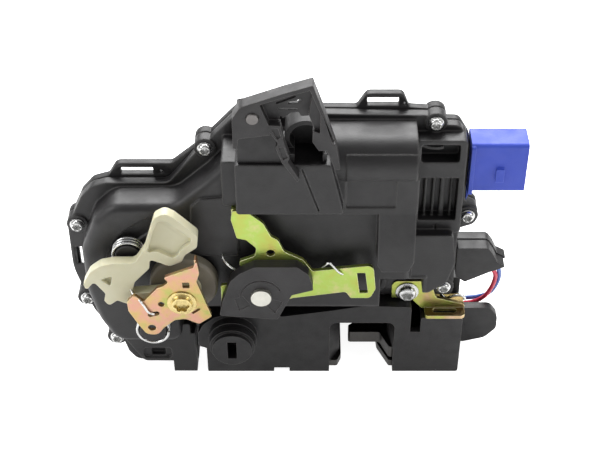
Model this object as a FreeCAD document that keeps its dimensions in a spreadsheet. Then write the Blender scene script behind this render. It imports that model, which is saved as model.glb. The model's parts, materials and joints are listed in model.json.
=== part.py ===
import FreeCAD, Part
import math
import os
import re

# Door latch actuator, standing on its latch face.
# X runs along the latch face, Y away from the lever side, Z up.
# The origin lies on the latch face, midway between the two mounting threads.
# A depth is a distance from the mounting thread line towards the lever side, so depth 26 is Y -26.

doc = FreeCAD.newDocument("door_latch_actuator")
sheet = doc.addObject("Spreadsheet::Sheet", "sizes")

SIZES = [
    # Depths of the main faces
    ("split_depth", 16.5), ("flange_front", 20), ("flange_back", 13), ("bulge_front", 32),
    ("shell_rear", 8), ("block_front", 42), ("motor_front", 38), ("tongue_front", 40),
    ("panel_front", 33.1), ("rib_front", 26), ("lower_front", 30), ("foot_front", 26),
    # Housing outline
    ("housing_left", 111), ("housing_right", 34.5), ("housing_top", 120.8), ("ear_top", 126.3),
    ("left_ear_top", 96.3), ("housing_floor", 36.3), ("foot_right", 66), ("foot_floor", 1),
    ("wall", 2), ("rim", 6.4), ("edge_round", 3), ("fit_gap", 0.3), ("seal_thick", 0.6),
    # Centre block, motor bulge and tongue
    ("block_left", 46.9), ("block_right", 9.7), ("block_low", 94), ("block_high", 115),
    ("motor_low", 99.8), ("motor_high", 118.4), ("motor_end", 15.2), ("rib_floor", 20.5),
    ("tongue_left", 2.5), ("tongue_right", 15.7), ("tongue_low", 65.5), ("chamber_low", 89.5),
    # Screws
    ("screw_hole_r", 1.5), ("screw_r", 1.45), ("screw_head_r", 2.7), ("screw_head_height", 1.9),
    ("screw_length", 9), ("screw_boss_r", 3.9), ("bracket_screw_r", 1.9), ("bracket_head_r", 3.9),
    # Latch housing
    ("latch_front", 26), ("latch_rear", 20), ("latch_left", 62.1), ("latch_right", 37.5),
    ("latch_top", 36), ("latch_wall", 2.8), ("cavity_top", 27), ("notch_left", 13.8),
    ("notch_right", 11.4), ("notch_top", 26.7), ("latch_step", 10),
    # Steel plate and its two threads
    ("bracket_back", 20.3), ("bracket_thick", 1.5), ("ledge_low", 29.6),
    ("plate_thick", 3), ("hole_x", 27.9), ("thread_r", 3.4), ("collar_r", 5.6), ("collar_top", 9),
    ("slot_left", 9), ("slot_right", 4), ("slot_end", 9),
    # Claw and pawl
    ("claw_x", 16), ("claw_y", 1), ("claw_low", 4), ("claw_thick", 5.5), ("pin_r", 3.2),
    ("pawl_x", 16), ("pawl_y", 2), ("pin_head_r", 4.6), ("run_gap", 0.06),
    # Key coupling
    ("key_x", 51.4), ("key_z", 20.6), ("drum_r", 7.6), ("drum_front", 35), ("drum_rim_r", 8.7),
    ("collar_front", 29.6), ("ring_r", 9.4), ("key_wide", 3.5), ("key_tall", 8.8), ("drum_back", 8),
    # Handle lever on its rivet
    ("rivet_x", 39.2), ("rivet_z", 56.5), ("handle_back", 37), ("handle_thick", 1.5),
    ("cover_back", 38.8), ("cover_front", 43), ("rivet_r", 2.4), ("rivet_head_r", 3.7),
    ("rivet_front", 44.4), ("spring_well_r", 5.2),
    # Inner lever, wheel and bolt
    ("bolt_x", 67.6), ("bolt_z", 56.6), ("wheel_r", 12.5), ("wheel_back", 33.4), ("wheel_front", 37.6),
    ("release_back", 38), ("release_front", 42), ("inner_back", 45), ("inner_thick", 1.5),
    ("bolt_r", 2.6), ("bolt_head_r", 4), ("bolt_front", 48.6), ("boss_r", 8), ("hub_r", 6.5),
    ("wheel_round", 1.2),
    # Springs
    ("upper_coil_x", 87), ("upper_coil_z", 70.4), ("lower_coil_x", 80.8), ("lower_coil_z", 32.6),
    ("wire_r", 0.55), ("upper_coil_r", 5.3), ("lower_coil_r", 5.9), ("coil_pitch", 1.35),
    # Connector
    ("plug_start", 34.8), ("plug_end", 54.8), ("plug_low", 89.5), ("plug_high", 110.2),
    ("plug_front", 24), ("plug_back", 13), ("plug_wall", 1.5), ("plug_floor", 39),
    ("pin_length", 11),
    # Switch box
    ("box_front", 18), ("box_split", 12.6), ("box_back", 8.5), ("box_left", 33.6), ("lead_depth", 10.6),
    # Cable clip
    ("clip_front", 46), ("clip_back", 31), ("clip_x", 40.2), ("clip_z", 136.8), ("clip_pin_r", 2.1),
    ("clip_wall", 1.6), ("lug_front", 40.7), ("lug_back", 32.6), ("arch_front", 36),
    ("arch_x", 23), ("arch_z", 121.9), ("arch_r", 7.1), ("seat_gap", 0.2),
    # Drive train
    ("motor_x", 12.8), ("motor_z", 106), ("motor_depth", 25.4), ("motor_r", 7), ("motor_length", 20),
    ("motor_flat", 5.5), ("worm_r", 3.2), ("shaft_r", 1), ("worm_length", 13), ("lock_worm_x", 18),
    ("lock_teeth", 26), ("gear_module", 1), ("gear_thick", 5), ("axle_r", 1.5), ("post_r", 3.4),
    ("safe_x", 84), ("safe_z", 80), ("safe_depth", 8), ("safe_r", 8), ("safe_length", 16),
    ("safe_worm_z", 54), ("safe_teeth", 20), ("slide_travel", 6),
    # Wires
    ("cable_r", 0.9),
]

for row, (name, value) in enumerate(SIZES, start=1):
    sheet.set(f"A{row}", name)
    sheet.set(f"B{row}", str(value))
    sheet.setAlias(f"B{row}", name)
doc.recompute()
NAMES = {name for name, value in SIZES}
size = {name: float(sheet.get(name)) for name in NAMES}
V = FreeCAD.Vector


def bound(text):
    """An expression whose size names point into the sheet."""
    return re.sub(r"[a-z_]\w*", lambda m: "sizes." + m.group(0) if m.group(0) in NAMES else m.group(0), text)


# Sketch geometry

def rounded(points):
    """A closed outline of straight edges; a point's third number is its corner radius."""
    count = len(points)
    corners = []
    for i, point in enumerate(points):
        here = V(point[0], point[1], 0)
        radius = point[2] if len(point) > 2 else 0
        before = V(points[i - 1][0], points[i - 1][1], 0) - here
        after = V(points[(i + 1) % count][0], points[(i + 1) % count][1], 0) - here
        half = before.getAngle(after) / 2
        if radius <= 0 or abs(half - math.pi / 2) < 0.01:
            corners.append((here, None, here))
            continue
        reach = min(radius / math.tan(half), 0.45 * before.Length, 0.45 * after.Length)
        radius = reach * math.tan(half)
        start = here + before.normalize() * reach
        end = here + after.normalize() * reach
        inward = (before + after).normalize()
        middle = here + inward * (radius / math.sin(half) - radius)
        corners.append((start, middle, end))
    edges = []
    for i, (start, middle, end) in enumerate(corners):
        if middle is not None:
            edges.append(Part.Arc(start, middle, end))
        edges.append(Part.LineSegment(end, corners[(i + 1) % count][0]))
    return edges


def inset(points, distance):
    """The same outline moved inwards by a distance, for walls of even thickness."""
    area = sum(a[0] * b[1] - b[0] * a[1] for a, b in zip(points, points[1:] + points[:1]))
    turn = 1 if area > 0 else -1
    moved = []
    count = len(points)
    for i, point in enumerate(points):
        a, b = points[i - 1], points[(i + 1) % count]
        first = V(point[0] - a[0], point[1] - a[1], 0).normalize()
        second = V(b[0] - point[0], b[1] - point[1], 0).normalize()
        n1 = V(-first.y, first.x, 0) * turn
        n2 = V(-second.y, second.x, 0) * turn
        bisector = n1 + n2
        shift = bisector * (2 * distance / bisector.dot(bisector))
        radius = point[2] if len(point) > 2 else 0
        moved.append((point[0] + shift.x, point[1] + shift.y, max(radius - distance, 0.6)))
    return moved


def circle(x, y, radius):
    return [Part.Circle(V(x, y, 0), V(0, 0, 1), radius)]


def box(x0, y0, x1, y1, radius=0):
    return rounded([(x0, y0, radius), (x1, y0, radius), (x1, y1, radius), (x0, y1, radius)])


def bar(x0, y0, x1, y1, half):
    """A round-ended bar between two points, as for slots."""
    along = V(x1 - x0, y1 - y0, 0).normalize()
    side = V(-along.y, along.x, 0) * half
    a, b = V(x0, y0, 0), V(x1, y1, 0)
    return [Part.LineSegment(a + side, b + side), Part.Arc(b + side, b + along * half, b - side),
            Part.LineSegment(b - side, a - side), Part.Arc(a - side, a - along * half, a + side)]


def arc_band(x, z, inner, outer, first, last):
    """A piece of a ring between two radii and two angles in degrees."""
    def at(radius, angle):
        turn = math.radians(angle)
        return V(x + radius * math.cos(turn), z + radius * math.sin(turn), 0)

    middle = (first + last) / 2
    return [Part.Arc(at(outer, first), at(outer, middle), at(outer, last)),
            Part.LineSegment(at(outer, last), at(inner, last)),
            Part.Arc(at(inner, last), at(inner, middle), at(inner, first)),
            Part.LineSegment(at(inner, first), at(outer, first))]


# Features

def new_body(label):
    body = doc.addObject("PartDesign::Body", label)
    body.Label = label
    return body


def sketch_on(body, plane, level, edges):
    """A sketch on one of the body's own origin planes, lifted to a level bound to the sheet."""
    sketch = body.newObject("Sketcher::SketchObject", body.Name + "_sketch")
    origin = next(item for item in body.Origin.OriginFeatures if item.Role == plane)
    sketch.AttachmentSupport = [(origin, "")]
    sketch.MapMode = "FlatFace"
    sketch.setExpression("AttachmentOffset.Base.z", bound(level))
    sketch.addGeometry(edges, False)
    sketch.Visibility = False
    return sketch


def pad(body, edges, low, high, plane="XZ_Plane"):
    """Adds material between two levels, which on the XZ plane are depths."""
    feature = body.newObject("PartDesign::Pad", body.Name + "_pad")
    feature.Profile = sketch_on(body, plane, low, edges)
    feature.setExpression("Length", bound(f"({high}) - ({low})"))
    feature.Refine = False
    return feature


def pocket(body, edges, low, high, plane="XZ_Plane"):
    """Takes material away between two levels."""
    feature = body.newObject("PartDesign::Pocket", body.Name + "_pocket")
    feature.Profile = sketch_on(body, plane, high, edges)
    feature.setExpression("Length", bound(f"({high}) - ({low})"))
    feature.Refine = False
    return feature


def round_edges(body, radius, chosen):
    """Rounds the edges that the test picks from the body as it stands."""
    doc.recompute()
    names = [f"Edge{i}" for i, edge in enumerate(body.Shape.Edges, start=1) if chosen(edge)]
    base = body.Tip
    feature = body.newObject("PartDesign::Fillet", body.Name + "_fillet")
    feature.Base = (base, names)
    feature.setExpression("Radius", bound(radius))
    return feature


def at_depth(depth):
    return lambda edge: all(abs(vertex.Point.y + depth) < 1e-4 for vertex in edge.Vertexes)


def solid(label, shape):
    """A piece whose form is made with shape functions."""
    feature = doc.addObject("Part::Feature", label)
    feature.Label = label
    feature.Shape = shape
    return feature


def post(x, z, radius, back, front):
    """A round post along Y between two depths."""
    return Part.makeCylinder(radius, front - back, V(x, -front, z), V(0, 1, 0))


PIECES = []


def piece(feature):
    PIECES.append(feature)
    return feature


# Housing outlines, in X and Z

def flange_outline(ears=False):
    """The joint flange round the housing; only the rear shell has the two ears."""
    left, right, top = -size["housing_left"], size["housing_right"], size["housing_top"]
    ear, low_ear, floor = size["ear_top"], size["left_ear_top"], size["housing_floor"]
    foot_x, foot = -size["foot_right"], size["foot_floor"]
    upper = [(12.8, top - 0.2, 1), (10.6, ear, 2.5), (-2, ear, 2.5), (-5.4, top - 0.2, 1.5)] if ears else []
    lower = [(-72.6, 90.6, 4), (-95, 90.6, 4)]
    if ears:
        lower = [(-71, low_ear, 3), (-91, low_ear, 3), (-94.2, 90.9, 1.5)]
    return [(-90.7, foot, 4), (foot_x, foot, 1), (foot_x, floor, 3), (right - 1.2, floor, 2),
            (right - 1.2, 69.5, 1), (right + 5.1, 72, 3.5), (right + 5.1, 80, 3.5), (right, 82.5, 1),
            (right, 109, 4), (30.5, 115.8, 3), (24.6, 116, 1), (22, top - 0.9, 1.5), *upper,
            (-46.5, top + 0.4, 4), (-61.9, 104.2, 4), *lower, (-100.2, 89, 5), (-104.5, 84, 3),
            (left + 0.2, 70.5, 5), (left, 50, 30), (-105.4, 28.4, 20), (-95, 10.5, 3), (-93.8, 5.5, 1)]


def bulge_outline():
    left = -size["housing_left"] + size["rim"]
    return [(-96, 22, 8), (-70.5, 22, 4.6), (-70.5, 39.5, 3), (7.6, 39.5, 4.6), (7.6, 47.5, 3),
            (16, 47.5, 4.6), (16, 114, 4.6), (-44, 114.8, 5), (-57.6, 100, 9), (-69.5, 89.2, 9), (-92, 89, 9),
            (-99, 82, 8), (left, 68, 10), (left, 48, 20), (-101.5, 34, 14)]


def rear_outline():
    """The outline that the rear shell's deep part follows, inside the flange and its ears."""
    left, right = -size["housing_left"] + size["rim"], size["housing_right"] - size["rim"] + 1
    top, floor = size["housing_top"] - size["rim"] + 1, size["housing_floor"]
    foot_x, foot = -size["foot_right"], size["foot_floor"] + 4
    return [(-88, foot, 9), (foot_x, foot, 6), (foot_x, floor, 3), (right, floor, 6),
            (right, top - 8, 8), (20, top, 8), (-44, top, 8), (-58.5, 99, 9), (-70, 88.6, 9),
            (-93, 87.5, 9), (left, 68, 10), (left, 48, 30), (-100, 28, 20)]


RED_ROUTE = [(48.2, -10.6, 48), (48.2, -10.6, 42.5), (52, -8.6, 36), (53.2, -5.8, 30.5), (52, -4, 25),
             (48, -2.6, 20), (42.5, -2, 16.5), (38.2, -2, 14.7)]
BLUE_ROUTE = [(50.9, -10.6, 48.2), (50.9, -10.6, 43.5), (54.4, -7.6, 36.8), (55.6, -3.6, 31.3),
              (54.2, -1.8, 25.8), (50, -0.4, 20.8), (44.5, 0.2, 17.3), (38.2, 0.2, 15.5)]
SCREWS = [(-107, 72), (-107, 35.4), (-97.6, 14.4), (-58.4, 106.6), (22, 117.4), (36, 76.2), (29.6, 41)]
EAR_SLOTS = [(-1.8, 121.2, 9.2, 124.6), (-89.7, 91.3, -78, 94.4)]
EAR_HOLES = [(11.2, 122), (-75.2, 92.6)]
BRACKET_SCREW = (15.7, 39.4)


def screw_circles(radius):
    return [edge for x, z in SCREWS for edge in circle(x, z, radius)]


def screw_holes():
    return screw_circles(size["screw_hole_r"]) + circle(*BRACKET_SCREW, size["bracket_screw_r"] + 0.05)


def ear_slots():
    return ([edge for corners in EAR_SLOTS for edge in box(*corners, 0.4)]
            + [edge for x, z in EAR_HOLES for edge in circle(x, z, 0.7)])


def crown(radius, back):
    """The drive chamber's round top as a section in Y and Z, closed at a depth behind."""
    middle = (size["motor_high"] + size["motor_low"]) / 2
    start = size["motor_front"] - (size["motor_high"] - size["motor_low"]) / 2
    top, low = V(-start, middle + radius, 0), V(-start, middle - radius, 0)
    back_top, back_low = V(-back, middle + radius, 0), V(-back, middle - radius, 0)
    return [Part.Arc(top, V(-start - radius, middle, 0), low), Part.LineSegment(low, back_low),
            Part.LineSegment(back_low, back_top), Part.LineSegment(back_top, top)]


def housing_front():
    """The moulded lever-side shell: flange, rounded bulge and the raised drive chambers."""
    body = new_body("housing_front")
    bulge = bulge_outline()
    wall = size["wall"]
    pad(body, rounded(bulge), "split_depth", "bulge_front")
    round_edges(body, "edge_round", at_depth(size["bulge_front"]))
    pad(body, rounded(flange_outline()), "split_depth", "flange_front")
    # Foot step at the lower left and the rib frame at the right, which share one face
    foot = rounded([(-87, 6, 3), (-68, 6, 1), (-68, 26, 1), (-98, 26, 4)])
    pad(body, foot + box(15, 72.4, 33, 113.5, 1.5), "split_depth", "foot_front")
    pad(body, box(-75.5, 0.2, -66.3, 21), "split_depth", "foot_front")
    # Centre block with its slanted right edge, drive chamber with the round crown, and the tongue
    left, right = -size["block_left"], -size["block_right"]
    low, high = size["block_low"], size["block_high"]
    block = [(left, low, 1.2), (right - 0.2, low, 1), (right - 4.8, high, 1), (left, high, 1.2)]
    pad(body, rounded(block), "split_depth", "block_front")
    radius = (size["motor_high"] - size["motor_low"]) / 2
    chamber_low, end = size["chamber_low"], size["motor_end"]
    pad(body, crown(radius, size["split_depth"]), "-block_right - 5.6", "motor_end", "YZ_Plane")
    chamber = [(right - 0.5, chamber_low, 0.8), (end + 0.8, chamber_low, 0.8), (end + 0.8, 104.8),
               (right - 5.6, 104.8), (right - 5.6, low + 1), (right - 0.5, low + 1)]
    pad(body, rounded(chamber), "split_depth", "motor_front - 1.4")
    middle, start = size["motor_low"] + radius, size["motor_front"] - radius
    swell = arc_band(-start, middle, radius - 3, radius + 0.4, 141, 206)
    pad(body, swell, "0.5 - block_right", "motor_end - 0.2", "YZ_Plane")
    tongue_left, tongue_right, tongue_low = size["tongue_left"], size["tongue_right"], size["tongue_low"]
    tongue = [(tongue_left, chamber_low + 1), (tongue_left, tongue_low + 3.4, 0.8),
              (tongue_left + 1.6, tongue_low, 1), (tongue_right - 1.7, tongue_low, 1),
              (tongue_right, tongue_low + 4.6, 1), (tongue_right, chamber_low + 1)]
    pad(body, rounded(tongue), "split_depth", "tongue_front")
    shelf, front = size["motor_front"] - 1.4, size["tongue_front"]
    slope = rounded([(-shelf, chamber_low), (-front, 81.4), (-front - 1, 81.4), (-front - 1, chamber_low + 2),
                     (-shelf, chamber_low + 2)])
    pocket(body, slope, "tongue_left - 1", "tongue_right + 1", "YZ_Plane")
    # Raised flat panel, the strip beside the block, and the nose at the lower right
    pad(body, rounded([(-64.8, 67.5, 2), (left - 0.4, 67.2, 1), (left - 0.4, 94.5, 1), (-60.5, 93, 1),
                       (-63.6, 89.8, 2)]), "bulge_front - 1", "panel_front")
    pad(body, box(-52, 93, left + 1, 112, 0.8), "split_depth", "bulge_front + 4")
    pad(body, rounded([(14, 46.5, 1), (22.8, 46.3, 2), (29.5, 51.7, 3), (32, 61.6, 4), (30.2, 74.1, 2),
                       (14, 74.1, 1)]), "split_depth", "lower_front")
    # Round dish beside the lever bolt
    bolt_x, bolt_z = -size["bolt_x"], size["bolt_z"]
    rivet_x, rivet_z = -size["rivet_x"], size["rivet_z"]
    pocket(body, arc_band(bolt_x, bolt_z, 23.5, 29.5, 95, 205), "bulge_front - 0.8", "bulge_front")
    # Bosses that carry the lever bolt, the rivet, the two springs and the screws
    pad(body, circle(bolt_x, bolt_z, size["boss_r"]), "bulge_front - 1", "wheel_back - fit_gap")
    pad(body, circle(rivet_x, rivet_z, size["boss_r"])
        + circle(-size["upper_coil_x"], size["upper_coil_z"], size["upper_coil_r"] - size["wire_r"] - fit())
        + circle(-size["lower_coil_x"], size["lower_coil_z"], size["lower_coil_r"] - size["wire_r"] - fit()),
        "bulge_front - 1", "handle_back - fit_gap")
    pad(body, screw_circles(size["screw_boss_r"]), "split_depth", "flange_front + 0.8")
    # Hollows, each one wall in from the face before it
    pocket(body, rounded(inset(bulge, wall)), "split_depth", "bulge_front - wall")
    pocket(body, rounded(inset(block, wall)), "split_depth", "block_front - wall")
    pocket(body, box(right + 1.5, chamber_low + wall, end - wall, 113.4), "split_depth",
           "motor_front - wall - 1.4")
    pocket(body, box(-18, low + wall, right + 2, 113.4), "split_depth", "motor_front - wall - 1.4")
    pocket(body, crown(radius - wall, size["flange_front"]), "-block_right - 3.6", "motor_end - wall",
           "YZ_Plane")
    # Deep openings of the rib frame with low ribs inside, and the round wall near the upper screw
    pocket(body, box(17.3, 78.2, 30.9, 97.4, 0.4) + box(17.1, 104.2, 30.6, 111.8, 1), "rib_floor",
           "rib_front")
    ribs = [edge for x, wide in ((19.3, 0.8), (22.2, 0.8), (25, 1.6), (28.6, 0.8))
            for edge in box(x, 78, x + wide, 97.6)]
    pad(body, ribs, "rib_floor - 0.2", "rib_front - 3")
    upper_x, upper_z = SCREWS[4]
    pad(body, arc_band(upper_x, upper_z, 7.4, 8.5, 217, 290), "rib_floor - 0.2", "rib_front - 1.2")
    # Window in the foot, its shallow surround, the chamber's flat recess and the grooves of the block
    pocket(body, box(-87, 7.4, -76, 13.2, 1.5), "foot_front - 1", "foot_front")
    pocket(body, box(-83.9, 8.3, -78.5, 12.5, 0.4), "foot_front - 3", "foot_front")
    pocket(body, box(right + 0.6, 92.3, 8.3, 104.2, 0.4), "motor_front - 2", "motor_front - 1.4")
    pocket(body, bar(-24.2, 113.2, -18.6, 95.6, 0.3), "block_front - 0.7", "block_front")
    pocket(body, box(23.6, 73.8, 24.2, 76.2), "rib_front - 1", "rib_front")
    # Holes for the screws, then for the bolt and the rivet
    pocket(body, screw_holes(), "split_depth", "flange_front + 0.8")
    pocket(body, circle(bolt_x, bolt_z, size["bolt_r"] + 0.01)
           + circle(rivet_x, rivet_z, size["rivet_r"] + 0.01), "bulge_front - 3", "handle_back")
    return body


def fit():
    return size["fit_gap"]


def gear_centres():
    """Axle centres of the two gears, each just clear of its worm."""
    lock_tip = gear_tip(size["lock_teeth"])
    safe_tip = gear_tip(size["safe_teeth"])
    lock = (-size["lock_worm_x"], size["motor_z"] - size["worm_r"] - fit() - lock_tip)
    safe = (-size["safe_x"] + size["worm_r"] + fit() + safe_tip, size["safe_worm_z"])
    return lock, safe


def gear_tip(teeth):
    return size["gear_module"] * (teeth / 2 + 1)


def housing_rear():
    """The shell on the far side, a deep tray with ribs, axle posts and the two ears."""
    body = new_body("housing_rear")
    tray = rear_outline()
    pad(body, rounded(tray), "-shell_rear", "split_depth - seal_thick")
    round_edges(body, "edge_round", at_depth(-size["shell_rear"]))
    pad(body, rounded(flange_outline(ears=True)), "flange_back", "split_depth - seal_thick")
    wall = size["wall"]
    pad(body, screw_circles(size["screw_boss_r"]), "flange_back - 3", "split_depth - seal_thick")
    # Raised field on the far side over the drive train, with cross ribs
    pad(body, rounded([(-98, 44, 6), (-76, 14, 5), (-70, 14, 3), (-70, 46, 3), (-14, 46, 3), (-14, 60, 5),
                       (20, 60, 5), (20, 108, 6), (-40, 108, 6), (-56, 92, 8), (-68, 82, 8), (-92, 81, 8)]),
        "-shell_rear - 1.4", "-shell_rear + 0.2")
    pad(body, box(-58, 50, -56.6, 84) + box(-36, 50, -34.6, 104) + box(-14, 64, -12.6, 104)
        + box(-34, 76, -15, 77.4) + box(-94, 62, -60, 63.4) + circle(-74, 38, 6) + circle(6, 84, 9),
        "-shell_rear - 2.4", "-shell_rear - 1.2")
    pad(body, box(-44, 40, -42.6, 44) + box(-22, 40, -20.6, 44) + box(0, 42, 1.4, 56) + box(20, 42, 21.4, 56),
        "-shell_rear - 1.4", "-shell_rear + 0.2")
    pocket(body, rounded(inset(tray, wall)), "wall - shell_rear", "split_depth")
    # Stiffening ribs and the posts that carry the gear axles
    ribs = [edge for x in (-94, -46, 4) for edge in box(x, 46, x + 1.4, 80)]
    pad(body, ribs, "wall - shell_rear - 0.2", "wall - shell_rear + 2")
    centres = gear_centres()
    posts = [edge for x, z in centres for edge in circle(x, z, size["post_r"])]
    pad(body, posts, "wall - shell_rear - 0.2", "wall - shell_rear + 4")
    bores = [edge for x, z in centres for edge in circle(x, z, size["axle_r"] + 0.01)]
    pocket(body, bores, "wall - shell_rear", "wall - shell_rear + 4")
    pocket(body, screw_circles(size["screw_r"] + 0.01) + ear_slots()
           + circle(*BRACKET_SCREW, size["bracket_screw_r"] + 0.05), "flange_back - 3", "split_depth")
    return body


def housing_seal():
    """The rubber gasket in the joint between the two shells."""
    body = new_body("housing_seal")
    opening = inset(rear_outline(), size["wall"])
    pad(body, rounded(inset(flange_outline(), 0.5)), "split_depth - seal_thick", "split_depth")
    pocket(body, rounded(opening), "split_depth - seal_thick", "split_depth")
    pocket(body, screw_holes(), "split_depth - seal_thick", "split_depth")
    return body


def screw(x, z, front, radius, head_r, head_height, length):
    """A pan head screw with a flange and a star recess, its axis along Y."""
    head = Part.makeCylinder(head_r, head_height * 0.45, V(x, -front, z), V(0, -1, 0))
    cap = Part.makeCone(head_r * 0.8, head_r * 0.62, head_height * 0.55,
                        V(x, -front - head_height * 0.45, z), V(0, -1, 0))
    shank = Part.makeCylinder(radius, length, V(x, -front, z), V(0, 1, 0))
    recess = Part.makeCylinder(head_r * 0.42, head_height * 0.6, V(x, -front - head_height, z), V(0, 1, 0))
    return head.fuse([cap, shank]).cut(recess).removeSplitter()


def housing_screws():
    front = size["flange_front"] + 0.8
    made = [screw(x, z, front, size["screw_r"], size["screw_head_r"], size["screw_head_height"],
                  size["screw_length"]) for x, z in SCREWS]
    return solid("housing_screws", Part.makeCompound(made))


# Latch housing

def latch_outline():
    left, right, top = -size["latch_left"], size["latch_right"], size["latch_top"]
    return [(left, 0, 0.5), (-35.7, 0), (-35.7, 2), (-29.6, 2), (-29.6, 0), (right, 0, 1), (right, 29.3, 1.5),
            (21.4, 29.3, 0.5), (21.4, 21.8), (17.5, 21.8), (17.5, top - 1.2, 1), (-0.4, top - 0.3, 3),
            (-13.8, 33, 6), (-32, 30, 6), (-51.7, 32, 4), (-58.4, 29.3, 4), (-63, 25.6, 4),
            (left - 2.9, 21, 3), (left - 3, 14.2, 1.5), (left, 13, 0.5)]


def latch_housing():
    """The moulded body round the striker slot, claw and key coupling."""
    body = new_body("latch_housing")
    left, right = -size["latch_left"], size["latch_right"]
    pad(body, rounded(latch_outline()), "latch_step", "latch_front")
    pad(body, box(left, 0, right, size["latch_top"], 1.5), "-latch_rear", "latch_step")
    # Wing behind the mounting ledge
    pad(body, rounded([(right - 1.5, 0.9, 1), (41.2, 0.9, 2), (49.6, 3.2, 4), (54, 8.4, 4), (53.8, 15.1, 4),
                       (50.6, 19.5, 3), (right - 1.5, 19.5, 1)]), "latch_step - 3.5", "latch_step")
    # Collar of the key coupling
    key_x, key_z = -size["key_x"], size["key_z"]
    pad(body, circle(key_x, key_z, size["ring_r"]), "latch_front - 1", "collar_front")
    pocket(body, circle(key_x, key_z, size["drum_r"] + size["fit_gap"] / 2), "drum_back", "collar_front")
    # Cavity for the claw, open towards the steel plate
    wall = size["latch_wall"]
    front, rear = -size["latch_front"] + wall, size["latch_rear"] - wall
    pocket(body, box(-34.5, front, right - wall + 0.2, rear, 1), "0", "cavity_top", "XY_Plane")
    # Striker opening in the front wall
    pocket(body, rounded([(-size["notch_left"], -1), (size["notch_right"], -1),
                          (size["notch_right"], size["notch_top"], 3),
                          (-size["notch_left"], size["notch_top"], 3)]),
           "latch_front - latch_wall", "latch_front")
    # Inner jambs of the opening, the right one above the claw
    pad(body, rounded([(-15.6, -24), (-13.8, -24), (-9.6, -17, 1), (-9.6, -14.6, 0.6), (-11.2, -14.6, 0.6),
                       (-15.6, -21.4, 1)]), "plate_thick + fit_gap", "cavity_top + 0.2", "XY_Plane")
    pad(body, rounded([(11.4, -24), (13, -24), (13, -9.5, 0.6), (10.8, -9.5, 0.6), (9.4, -13.5, 1)]),
        "claw_low + claw_thick + 0.7", "cavity_top + 0.2", "XY_Plane")
    # Mould relief above the cavity
    pocket(body, box(-58, -8, -36, rear, 2), "plate_thick", "latch_top - wall", "XY_Plane")
    return body


def latch_plate():
    """The steel face plate with its striker slot and two drawn M8 threads."""
    body = new_body("latch_plate")
    wall, gap = size["latch_wall"], size["fit_gap"]
    front, rear = -size["latch_front"] + wall + gap, size["latch_rear"] - wall - gap
    left, right = -34.5 + gap, size["latch_right"] - wall + 0.2 - gap
    slot_left, slot_right = -size["slot_left"], size["slot_right"]
    outline = [(left, front, 1), (slot_left - 1.6, front, 1), (slot_left, front + 4, 2),
               (slot_left, size["slot_end"], 3), (slot_right, size["slot_end"], 3),
               (slot_right + 1.6, -13, 4), (slot_right + 6, front, 1), (right, front, 1),
               (right, rear, 1), (left, rear, 1)]
    pad(body, rounded(outline), "0", "plate_thick", "XY_Plane")
    for x in (-size["hole_x"], size["hole_x"]):
        pad(body, circle(x, 0, size["collar_r"]), "plate_thick - 0.5", "collar_top", "XY_Plane")
    for x in (-size["hole_x"], size["hole_x"]):
        pocket(body, circle(x, 0, size["thread_r"]), "0", "collar_top", "XY_Plane")
    for x, y in pin_places():
        pocket(body, circle(x, y, size["pin_r"] + 0.01), "0", "plate_thick", "XY_Plane")
    return body


def pin_places():
    return [(size["claw_x"], -size["claw_y"]), (-size["pawl_x"], size["pawl_y"])]


def claw():
    """The fork that closes round the striker, drawn open: rear prong, mouth and hook."""
    body = new_body("claw")
    x, y = size["claw_x"], -size["claw_y"]
    outline = [(-6, -13.5, 1), (x - 9.5, y - 12.5, 1.5), (x - 6, y - 21, 1.5), (x - 1.5, y - 20.8, 1.5),
               (x + 3.5, y - 13, 3), (x + 5.9, y, 4), (x + 1.2, y + 5.6, 4), (x - 4, y + 4.5, 3),
               (x - 8, y - 5.5, 3), (-3, -7.2, 1.5), (-6, -9.5, 1)]
    pad(body, rounded(outline), "claw_low", "claw_low + claw_thick", "XY_Plane")
    pocket(body, circle(x, y, size["pin_r"] + size["run_gap"]), "claw_low", "claw_low + claw_thick",
           "XY_Plane")
    return body


def pawl():
    """The pawl that drops in front of the claw's prong, drawn released."""
    body = new_body("pawl")
    x, y = -size["pawl_x"], size["pawl_y"]
    outline = [(x - 4.9, y, 3), (x - 1, y - 4.9, 4), (x + 4.5, y - 2.5, 3), (x + 6.3, y + 4.2, 3),
               (x + 10.7, y + 12.5, 0.4), (x + 9.3, y + 14.1, 0.4), (x + 2, y + 8, 2), (x - 4, y + 4.4, 3)]
    pad(body, rounded(outline), "claw_low", "claw_low + claw_thick", "XY_Plane")
    pocket(body, circle(x, y, size["pin_r"] + size["run_gap"]), "claw_low", "claw_low + claw_thick",
           "XY_Plane")
    return body


def pin(label, x, y):
    """A riveted pin from the plate up through a claw or pawl, with its head above the spring."""
    top = size["claw_low"] + size["claw_thick"] + 4.4
    shank = Part.makeCylinder(size["pin_r"], top, V(x, y, 0))
    head = Part.makeCylinder(size["pin_head_r"], 1.4, V(x, y, top))
    return solid(label, shank.fuse(head).removeSplitter())


def coil(centre, axis, mean_r, wire_r, turns, pitch):
    """A torsion spring's close turns of round wire, each turn four arcs that climb."""
    def at(turn):
        angle = 2 * math.pi * turn
        return V(mean_r * math.cos(angle), mean_r * math.sin(angle), pitch * turn)

    arcs = [Part.Arc(at(i / 4), at(i / 4 + 1 / 8), at(i / 4 + 1 / 4)).toShape() for i in range(4 * turns)]
    profile = Part.Wire([Part.Circle(V(mean_r, 0, 0), V(0, 1, 0), wire_r).toShape()])
    wound = Part.Wire(arcs).makePipeShell([profile], True, True)
    wound.Placement = FreeCAD.Placement(centre, FreeCAD.Rotation(V(0, 0, 1), axis))
    return wound


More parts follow.
